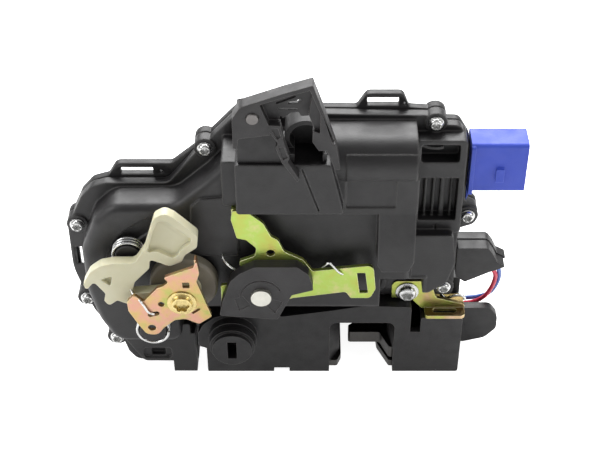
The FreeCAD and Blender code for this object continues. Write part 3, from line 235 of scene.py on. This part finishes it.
def bare(name, colour, rough=(0.18, 0.32)):
    """Metal without a coloured film, with a fine grain."""
    paint = Paint(name)
    grain = paint.noise(1500, rough=0.6)
    tint = paint.mix(paint.noise(300), tuple(part * 0.75 for part in colour), colour)
    paint.set(Base_Color=tint, Metallic=1.0, Roughness=paint.roughness(grain, *rough))
    paint.relief([(grain, 0.000006)], radius=0.0002)
    return paint


BLACK = ((0.008, 0.0074, 0.008), (0.013, 0.012, 0.0127))
SLEEVE = (0.3, 0.42)    # roughness of a wire's sleeve

# The edge colours given below are painted highlights where rounded edges catch the light.
MATERIALS = {
    "black_housing": moulded("moulded_black", *BLACK, edge_highlight=(0.17, 0.165, 0.16)),
    # The wider radius spreads the painted edge highlight and softens the rounded shading.
    "black_shell": moulded("moulded_shell", *BLACK, (0.4, 0.52), radius=0.0011,
                           edge_highlight=(0.1, 0.097, 0.094)),
    "black_cover": moulded("moulded_cover", (0.014, 0.013, 0.0135), (0.022, 0.0202, 0.0214),
                           edge_highlight=(0.18, 0.17, 0.165)),
    "cream_nylon": nylon("cream_nylon", (0.68, 0.655, 0.48), (0.57, 0.54, 0.35),
                         edge_highlight=(0.84, 0.82, 0.68)),
    "grey_nylon": moulded("grey_nylon", (0.17, 0.15, 0.115), (0.22, 0.2, 0.155),
                          edge_highlight=(0.36, 0.33, 0.28)),
    "blue_plug": moulded("plug_blue", (0.03, 0.065, 0.46), (0.045, 0.085, 0.56),
                         edge_highlight=(0.16, 0.24, 0.8)),
    "yellow_zinc": plated("yellow_zinc", [(0.28, (0.42, 0.27, 0.1)),
                                          (0.4, (0.44, 0.46, 0.1)),
                                          (0.56, (0.4, 0.54, 0.12)),
                                          (0.7, (0.6, 0.52, 0.26))], (0.92, 0.88, 0.62)),
    "bracket_zinc": plated("bracket_zinc", [(0.3, (0.5, 0.56, 0.16)),
                                            (0.45, (0.44, 0.5, 0.1)),
                                            (0.6, (0.5, 0.36, 0.16)),
                                            (0.72, (0.6, 0.42, 0.3))], (0.9, 0.84, 0.5),
                           top=(0.12, 0.075, 0.03)),
    "gold_zinc": plated("gold_zinc", [(0.3, (0.4, 0.44, 0.12)),
                                      (0.42, (0.58, 0.4, 0.17)),
                                      (0.55, (0.62, 0.33, 0.25)),
                                      (0.68, (0.5, 0.45, 0.16))], (0.84, 0.76, 0.44)),
    "bright_steel": bare("bright_steel", (0.72, 0.72, 0.71)),
    "dark_steel": bare("dark_steel", (0.13, 0.125, 0.12), (0.3, 0.45)),
    "brass_bolt": bare("brass_bolt", (0.74, 0.6, 0.27), (0.22, 0.36)),
    "pin_grey": bare("pin_grey", (0.2, 0.19, 0.185), (0.4, 0.55)),
    "pale_rivet": bare("pale_rivet", (0.74, 0.73, 0.66), (0.34, 0.5)),
    "seal_rubber": moulded("seal_rubber", (0.012, 0.012, 0.012), (0.02, 0.02, 0.02), (0.6, 0.75)),
    "contact_tin": bare("contact_tin", (0.7, 0.7, 0.68)),
    "red_sleeve": moulded("red_sleeve", (0.62, 0.03, 0.07), (0.72, 0.05, 0.1), SLEEVE),
    "blue_sleeve": moulded("blue_sleeve", (0.05, 0.12, 0.42), (0.07, 0.16, 0.52), SLEEVE),
    "white_nylon": nylon("white_nylon", (0.74, 0.74, 0.7), (0.66, 0.65, 0.6),
                         edge_highlight=(0.84, 0.84, 0.82)),
}


def dress(thing, slot):
    thing.data.materials.clear()
    thing.data.materials.append(MATERIALS[slot].material)


for row in frame["record"]["subparts"]:
    dress(frame["nodes"][row["node"]], row["material_slot"])
dress(frame["nodes"]["latch_bracket"], "bracket_zinc")      # its film is browner than the levers', and its ledge's upward faces take a painted dark brown shade


# Pieces that Blender makes: places are in millimetres as X, depth towards the viewer, and Z

WELD = 0.000002     # metres between points that become one
CORNER_STEPS = 5    # pieces in a rounded corner
TURN_STEPS = 48     # points around a turned part
DISC_STEPS = 24     # points around a hole or a boss
RIM = 0.25          # mm, the softened edge of a plate


def at(x, depth, z):
    return Vector((x * MM, -depth * MM, z * MM))


def put(name, meshes, slot, body="housing", stands_for=(), smooth=40, paint=None):
    """One object from several meshes, dressed, riding on its body.

    Edges under the angle smooth, in degrees, are shaded round. The paint is given
    where it differs from the slot."""
    bm = bmesh.new()
    for mesh in meshes:
        bm.from_mesh(mesh)
    bmesh.ops.remove_doubles(bm, verts=bm.verts, dist=WELD)
    bmesh.ops.recalc_face_normals(bm, faces=bm.faces)
    for edge in bm.edges:
        edge.smooth = edge.is_manifold and edge.calc_face_angle(0) < math.radians(smooth)
    for face in bm.faces:
        face.smooth = True
    joined = bpy.data.meshes.new(name)
    bm.to_mesh(joined)
    bm.free()
    thing = bpy.data.objects.new(name, joined)
    scene.collection.objects.link(thing)
    dress(thing, paint or slot)
    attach(thing, body)
    if stands_for:
        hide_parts(*stands_for)


def ring(points, steps=CORNER_STEPS):
    """Corner points with their radii as one closed line with rounded corners."""
    made = []
    for i, (x, z, radius) in enumerate(points):
        here = Vector((x, z))
        before = Vector(points[i - 1][:2]) - here
        after = Vector(points[(i + 1) % len(points)][:2]) - here
        reach = radius / math.tan(before.angle(after) / 2)
        reach = max(0.05, min(reach, 0.45 * before.length, 0.45 * after.length))
        start, end = here + before.normalized() * reach, here + after.normalized() * reach
        for step in range(steps + 1):
            t = step / steps
            made.append((1 - t) ** 2 * start + 2 * t * (1 - t) * here + t * t * end)
    return made


def shrunk(points, distance):
    """Corner points moved inwards, for walls and rounded edges; they run counter-clockwise."""
    moved = []
    for i, (x, z, radius) in enumerate(points):
        here = Vector((x, z))
        first = (here - Vector(points[i - 1][:2])).normalized()
        second = (Vector(points[(i + 1) % len(points)][:2]) - here).normalized()
        bisector = Vector((-first.y, first.x)) + Vector((-second.y, second.x))
        shift = here + bisector * (2 * distance / bisector.dot(bisector))
        moved.append((shift.x, shift.y, max(radius - distance, 0.6)))
    return moved


def disc(x, z, radius):
    turns = [2 * math.pi * i / DISC_STEPS for i in range(DISC_STEPS)]
    return [Vector((x + radius * math.cos(turn), z + radius * math.sin(turn))) for turn in turns]


def block(x0, z0, x1, z1):
    return ring([(x0, z0, 0.4), (x1, z0, 0.4), (x1, z1, 0.4), (x0, z1, 0.4)], 3)


def baked(curve):
    """The surface of a curve as a mesh."""
    thing = bpy.data.objects.new("curve", curve)
    scene.collection.objects.link(thing)
    depsgraph = bpy.context.evaluated_depsgraph_get()
    mesh = bpy.data.meshes.new_from_object(thing.evaluated_get(depsgraph))
    bpy.data.objects.remove(thing)
    return mesh


def plate(lines, back, front):
    """A plate between two depths with softened edges; lines after the first may be holes."""
    curve = bpy.data.curves.new("plate", "CURVE")
    curve.dimensions = "2D"
    curve.fill_mode = "BOTH"
    curve.extrude = ((front - back) / 2 - RIM) * MM
    curve.bevel_depth = RIM * MM
    curve.bevel_resolution = 1
    curve.offset = -RIM * MM
    for line in lines:
        spline = curve.splines.new("POLY")
        spline.points.add(len(line) - 1)
        for point, (x, z) in zip(spline.points, line):
            point.co = (x * MM, z * MM, 0, 1)
        spline.use_cyclic_u = True
    mesh = baked(curve)
    upright = Matrix.Rotation(math.pi / 2, 4, "X")
    mesh.transform(Matrix.Translation(at(0, (back + front) / 2, 0)) @ upright)
    return mesh


def skin(rings):
    """A closed skin through rings of points, with a face over each end."""
    bm = bmesh.new()
    rows = [[bm.verts.new(point) for point in line] for line in rings]
    for low, high in zip(rows, rows[1:]):
        for i in range(len(low)):
            j = (i + 1) % len(low)
            bm.faces.new((low[i], low[j], high[j], high[i]))
    bm.faces.new(rows[0])
    bm.faces.new(rows[-1])
    bmesh.ops.recalc_face_normals(bm, faces=bm.faces)
    mesh = bpy.data.meshes.new("skin")
    bm.to_mesh(mesh)
    bm.free()
    return mesh


def loft(levels):
    """A skin through outlines of X and Z, each at its depth."""
    return skin([[at(x, depth, z) for x, z in line] for line, depth in levels])


def wedge(low_x, high_x, corners):
    """A prism along X from corners given as depth and Z."""
    return skin([[at(x, depth, z) for depth, z in corners] for x in (low_x, high_x)])


def turned(x, z, profile):
    """A turned part about an axis along Y.

    Each ring is a radius, a depth and how deep its six lobes are, as a share of the radius."""
    levels = []
    for radius, depth, lobes in profile:
        line = []
        for i in range(TURN_STEPS):
            turn = 2 * math.pi * i / TURN_STEPS
            reach = radius * (1 + lobes * math.cos(6 * turn))
            line.append((x + reach * math.cos(turn), z + reach * math.sin(turn)))
        levels.append((line, depth))
    return loft(levels)


def rod(points, radius):
    """Bent wire along points given as X, depth and Z."""
    curve = bpy.data.curves.new("rod", "CURVE")
    curve.dimensions = "3D"
    curve.bevel_depth = radius * MM
    curve.bevel_resolution = 3
    curve.use_fill_caps = True
    spline = curve.splines.new("NURBS")
    spline.points.add(len(points) - 1)
    for point, place in zip(spline.points, points):
        point.co = (*at(*place), 1)
    spline.order_u = 3
    spline.use_endpoint_u = True
    spline.resolution_u = 6
    return baked(curve)


# Rear shell: the flange with its two ears, and a tray whose walls lean in towards the back

SCREWS = [(-107, 72), (-107, 35.4), (-97.6, 14.4), (-58.4, 106.6),
          (22, 117.4), (36, 76.2), (29.6, 41)]
SCREW_HOLE, BOSS = 1.46, 3.9                        # mm, radii
FLANGE_BACK, FLANGE_FRONT, TRAY_FLOOR = 13, 15.9, -8    # mm, depths


def rear_shell():
    """The meshes of the flange, the tray with its open front, and what stands on them."""
    flange = ring([(-90.7, 1, 4), (-66, 1, 1), (-66, 36.3, 3), (33.3, 36.3, 2), (33.3, 69.5, 1),
                   (39.6, 72, 3.5), (39.6, 80, 3.5), (34.5, 82.5, 1), (34.5, 109, 4),
                   (30.5, 115.8, 3), (24.6, 116, 1), (22, 119.9, 1.5), (12.8, 120.6, 1),
                   (10.6, 126.3, 2.5), (-2, 126.3, 2.5), (-5.4, 120.6, 1.5), (-46.5, 121.2, 4),
                   (-61.9, 104.2, 4), (-71, 96.3, 3), (-91, 96.3, 3), (-94.2, 90.9, 1.5),
                   (-100.2, 89, 5), (-104.5, 84, 3), (-110.8, 70.5, 5), (-111, 50, 30),
                   (-105.4, 28.4, 20), (-95, 10.5, 3), (-93.8, 5.5, 1)])
    low = [(-100, 28, 20), (-88, 5, 9), (-66, 5, 6), (-66, 36.3, 3), (29.1, 36.3, 6)]
    first = low + [(29.1, 107.4, 8), (20, 115.4, 8), (-44, 115.4, 8), (-58.5, 99, 9),
                   (-70, 88.6, 9), (-93, 87.5, 9), (-104.6, 68, 10), (-104.6, 48, 30)]
    second = low + [(29.1, 103, 7), (22.5, 110.3, 7), (-44, 110.3, 8), (-58.5, 92, 9),
                    (-70, 81.8, 9), (-93, 81.6, 7), (-104.6, 62, 10), (-104.6, 46, 30)]
    third = low + [(29.1, 99, 3), (26.5, 105.2, 5), (-44, 105.2, 8), (-58.5, 84.5, 9),
                   (-70, 74.6, 9), (-93, 74.6, 7), (-104.6, 56, 10), (-104.6, 44, 25)]
    opening = ring(shrunk(first, 2))
    inside = [(ring(shrunk(third, 1)), -6.1), (ring(shrunk(second, 1.2)), 1.5),
              (opening, FLANGE_BACK)]
    rim = [(opening, 15.8), (ring(first), 15.8)]
    outside = [(ring(first), FLANGE_BACK), (ring(second), 1.5), (ring(third), -6),
               (ring(shrunk(third, 0.5)), -7.1), (ring(shrunk(third, 1.6)), -7.8),
               (ring(shrunk(third, 2.8)), TRAY_FLOOR)]
    tray = loft(inside + rim + outside)
    screw_holes = [disc(x, z, SCREW_HOLE) for x, z in SCREWS]
    pin_holes = [disc(11.2, 122, 0.7), disc(-75.2, 92.6, 0.7)]
    windows = [block(-1.8, 121.2, 9.2, 124.6), block(-89.7, 91.3, -78, 94.4),
               block(-109, 46.6, -106.8, 58)]
    holes = [opening] + screw_holes + pin_holes + windows
    sheet = plate([flange] + holes, FLANGE_BACK, FLANGE_FRONT)
    bosses = [plate([disc(x, z, BOSS), disc(x, z, SCREW_HOLE)], 12.4, 15.88) for x, z in SCREWS]
    field = ring([(-97, 42, 6), (-76, 14, 5), (-70, 14, 3), (-70, 46, 3), (-14, 46, 3),
                  (-14, 60, 5), (20, 60, 5), (20, 98, 6), (-40, 98, 6), (-56, 79, 8),
                  (-68, 68, 8), (-90, 67, 8)])
    ribs = [block(-58, 50, -56.6, 76), block(-36, 50, -34.6, 95), block(-14, 64, -12.6, 95),
            block(-34, 76, -15, 77.4), block(-91, 60, -60, 61.4), disc(-74, 38, 6), disc(6, 84, 9)]
    low_ribs = [block(x, 40, x + 1.4, top) for x, top in ((-44, 44), (-22, 44), (0, 56), (20, 56))]
    raised = plate([field], -9.4, -7.7)
    on_field = [plate([line], -10.4, -9.2) for line in ribs]
    on_floor = [plate([line], -9.4, -7.8) for line in low_ribs]
    return [sheet, tray, raised] + bosses + on_field + on_floor


put("rear_shell", rear_shell(), "black_housing", stands_for=["housing_rear"])

# Lever-side shell with the recess over the bracket and the left ear's window, the seal with that
# window, and the hinge lug cut back behind its face

ROUND = 32      # degrees, the shading of the moulded forms that are cut


def cut_back(node, tools):
    """A node's form with wedges taken off, as a mesh of its own."""
    meshes = [frame["nodes"][node].data.copy()] + tools
    things = [bpy.data.objects.new("cut", mesh) for mesh in meshes]
    for thing in things:
        scene.collection.objects.link(thing)
    for tool in things[1:]:
        cut = things[0].modifiers.new("cut", "BOOLEAN")
        cut.operation = "DIFFERENCE"
        cut.solver = "EXACT"
        cut.object = tool
    depsgraph = bpy.context.evaluated_depsgraph_get()
    mesh = bpy.data.meshes.new_from_object(things[0].evaluated_get(depsgraph))
    for thing in things:
        bpy.data.objects.remove(thing)
    return mesh


recess = wedge(4.5, 20.8, [(21.85, 36), (21.85, 45.8), (32.6, 55.6), (37, 58.6), (37, 36)])
lining = [wedge(3.6, 21.6, [(20.9, 45.6), (20.9, 47.2), (29.9, 55), (30.6, 54)]),
          wedge(3.6, 4.6, [(20.9, 40), (20.9, 46), (30, 54.4), (30, 40)]),
          wedge(4, 15, [(20.2, 40), (20.2, 47), (21.2, 47), (21.2, 40)]),
          wedge(20.6, 21.6, [(20.2, 46), (20.2, 46.9), (29.8, 55), (29.8, 46.4)])]
window = wedge(-109.5, -106.8, [(12, 45.6), (12, 57), (21, 61), (21, 53.2)])
shell = cut_back("housing_front", [recess, window])
put("lever_side_shell", [shell] + lining, "black_housing", smooth=ROUND,
    stands_for=["housing_front"], paint="black_shell")
seal = cut_back("housing_seal", [window])
put("shell_seal", [seal], "seal_rubber", stands_for=["housing_seal"])
lug_back = wedge(-50, -30.4, [(40, 141.2), (32, 133.8), (24, 126.6), (24, 150), (40, 150)])
put("hinge_lug", [cut_back("cable_bracket", [lug_back])], "black_housing", smooth=ROUND,
    stands_for=["cable_bracket"])
pin = turned(-40.2, 136.8, [(2.1, 39, 0), (2.1, 46.3, 0), (1.9, 46.6, 0), (0.4, 46.5, 0)])
put("hinge_pin", [pin], "pale_rivet", stands_for=["retainer_pin"], paint="pin_grey")

# Wires from the switch box down behind the latch housing's wing

LEAD = 0.9      # mm, radius

red = [(48.2, 10.6, 48), (48.2, 10.6, 42.5), (51.4, 9.2, 37.5), (51.3, 8, 31.7),
       (50.3, 6, 25.3), (48.4, 4, 19.5), (44, 2.4, 15.2), (38.2, 2, 14.7)]
blue = [(50.9, 10.6, 48.2), (50.9, 10.6, 43.5), (53.2, 8, 36.4), (53, 5.4, 29),
        (51.6, 2.6, 21.6), (48.6, 0.4, 17.2), (43.6, -0.2, 15.8), (38.2, -0.2, 15.5)]
put("red_lead", [rod(red, LEAD)], "red_sleeve", stands_for=["wire_red"])
put("blue_lead", [rod(blue, LEAD)], "blue_sleeve", stands_for=["wire_blue"])

# Fasteners with their star recesses

STAR = 0.13     # the star's lobes, as a share of its radius


def pan_head(x, z, seat, shank, head, height, length):
    """A screw with a flanged head; the seat is a depth, shank and head are radii."""
    tip = seat - length
    top = seat + height
    return turned(x, z, [(shank * 0.7, tip, 0), (shank, tip + 0.6, 0), (shank, seat, 0),
                         (head, seat, 0), (head * 1.02, seat + 0.25, 0), (head, seat + 0.45, 0),
                         (head * 0.88, seat + 0.6, 0), (head * 0.86, top - 0.7, 0),
                         (head * 0.76, top - 0.2, 0), (head * 0.62, top, 0),
                         (head * 0.56, top - 0.02, STAR), (head * 0.54, top - 1.8, STAR),
                         (head * 0.12, top - 2, 0)])


screws = [pan_head(x, z, seat=20.8, shank=1.45, head=2.7, height=1.9, length=7.9)
          for x, z in SCREWS]
put("shell_screws", screws, "bright_steel", stands_for=["housing_screws"])
ledge_screw = pan_head(15.7, 39.4, seat=21.8, shank=1.9, head=3.9, height=2.5, length=8)
washer = turned(15.7, 39.4, [(4.4, 21.8, 0), (4.5, 22, 0), (4.4, 22.35, 0), (3.6, 22.4, 0)])
put("ledge_screw", [ledge_screw, washer], "bright_steel", stands_for=["bracket_screw"])
bolt = turned(-67.6, 56.6, [(2.6, 29, 0), (2.6, 42.3, 0), (4, 42.3, 0), (4, 44.7, 0),
                            (2.6, 44.7, 0), (2.6, 46.6, 0), (5.3, 46.62, 0), (5.4, 46.8, 0),
                            (5.3, 47.05, 0), (4.1, 47.1, 0), (4, 47.5, 0), (3.85, 47.6, 0),
                            (3.7, 48.45, 0), (3.4, 48.6, 0), (2.6, 48.5, STAR),
                            (2.45, 46.9, STAR), (0.5, 46.7, 0)])
put("stack_bolt", [bolt], "brass_bolt", stands_for=["lever_bolt"])

# Spring legs, each with its wire's radius and the body that it rides on

LEGS = [
    ("upper_spring_leg", 0.5, "housing",
     [(-81.7, 36.7, 70.4), (-82.2, 36.8, 66.2), (-85.8, 36.9, 62), (-87.3, 37.2, 59.6)]),
    ("upper_spring_hook", 0.5, "inner_lever",
     [(-87.3, 38.6, 59.6), (-86.4, 42.5, 58.4), (-83.4, 45.6, 57.8), (-82.2, 47.1, 57.6),
      (-80.9, 47.2, 54.8), (-79.9, 47.2, 52), (-78, 46.6, 51.1)]),
    ("wheel_spring_leg", 0.45, "inner_lever",
     [(-76.6, 37.9, 71.6), (-75.6, 38.3, 71.2), (-74.9, 38.5, 69), (-73.5, 38.5, 68),
      (-71.6, 38.4, 67.6), (-70.8, 37.4, 67.9)]),
    ("handle_spring_legs", 0.45, "housing",
     [(-53.4, 31.5, 68.4), (-53, 35, 67.7), (-51.6, 36.2, 66.2), (-49.6, 36.6, 64.4),
      (-47.2, 37, 63.4)]),
    ("handle_spring_hook", 0.45, "handle_lever",
     [(-17, 37.8, 66.2), (-15.9, 38.9, 68.3), (-14.6, 39.2, 69.5), (-13.6, 39.3, 68.4),
      (-12, 39.3, 66), (-10.6, 39.2, 64.2), (-9.7, 38.4, 63.2)]),
]
for name, radius, body, points in LEGS:
    put(name, [rod(points, radius)], "bright_steel", body)

# Contact clip on the latch, seen under the switch box

clip = rod([(29.6, 13.6, 31.4), (30, 15.6, 31.6), (31.5, 17.6, 31.8), (34.2, 18, 33.6),
            (37, 18, 34), (38.8, 17.8, 32.6), (38.9, 17.4, 31.2)], 0.5)
put("contact_clip", [clip], "contact_tin")


# Floor and light

GLOW = 0.9          # how white the floor is where the camera sees it
MIRRORED = 0.45     # the share of that which shows in the object's metal and plastic
HALF = 3            # metres from the floor's middle to its sides


def stage_floor():
    """A white floor that lights nothing: it glows only for the camera and in reflections."""
    mesh = bpy.data.meshes.new("floor")
    corners = [(-HALF, -HALF, 0), (HALF, -HALF, 0), (HALF, HALF, 0), (-HALF, HALF, 0)]
    mesh.from_pydata(corners, [], [(0, 1, 2, 3)])
    floor = bpy.data.objects.new("floor", mesh)
    scene.collection.objects.link(floor)
    paint = Paint("floor")
    path = paint.add("ShaderNodeLightPath").outputs
    seen = paint.calculate("MAXIMUM", path["Is Camera Ray"], path["Is Transmission Ray"])
    mirrored = paint.calculate("MULTIPLY", path["Is Glossy Ray"], MIRRORED)
    glow = paint.calculate("MULTIPLY", paint.calculate("MAXIMUM", seen, mirrored), GLOW)
    paint.set(Base_Color=(0.8, 0.8, 0.8), Roughness=0.9, Specular_IOR_Level=0.1,
              Emission_Color=(1, 1, 1), Emission_Strength=glow)
    mesh.materials.append(paint.material)


def lamp(name, place, target, width, height, energy):
    """A rectangular lamp that faces its target; sizes in metres, energy in watts."""
    data = bpy.data.lights.new(name, "AREA")
    data.shape = "RECTANGLE"
    data.size, data.size_y = width, height
    data.energy = energy
    made = bpy.data.objects.new(name, data)
    made.location = place
    made.rotation_euler = (Vector(target) - Vector(place)).to_track_quat("-Z", "Y").to_euler()
    scene.collection.objects.link(made)


stage_floor()
world = bpy.data.worlds.new("studio")
world.use_nodes = True
background = world.node_tree.nodes["Background"].inputs
background["Color"].default_value = (1, 1, 1, 1)
background["Strength"].default_value = 0.4
scene.world = world
lamp("back", (-0.03, 0.62, 0.78), (-0.03, 0, 0.08), 1.2, 0.8, 22)
lamp("left", (-0.8, -0.25, 0.6), (-0.03, 0, 0.06), 0.5, 0.5, 4)
lamp("right", (0.75, -0.3, 0.6), (-0.03, 0, 0.06), 0.4, 0.4, 2.5)

scene.view_settings.view_transform = "Standard"
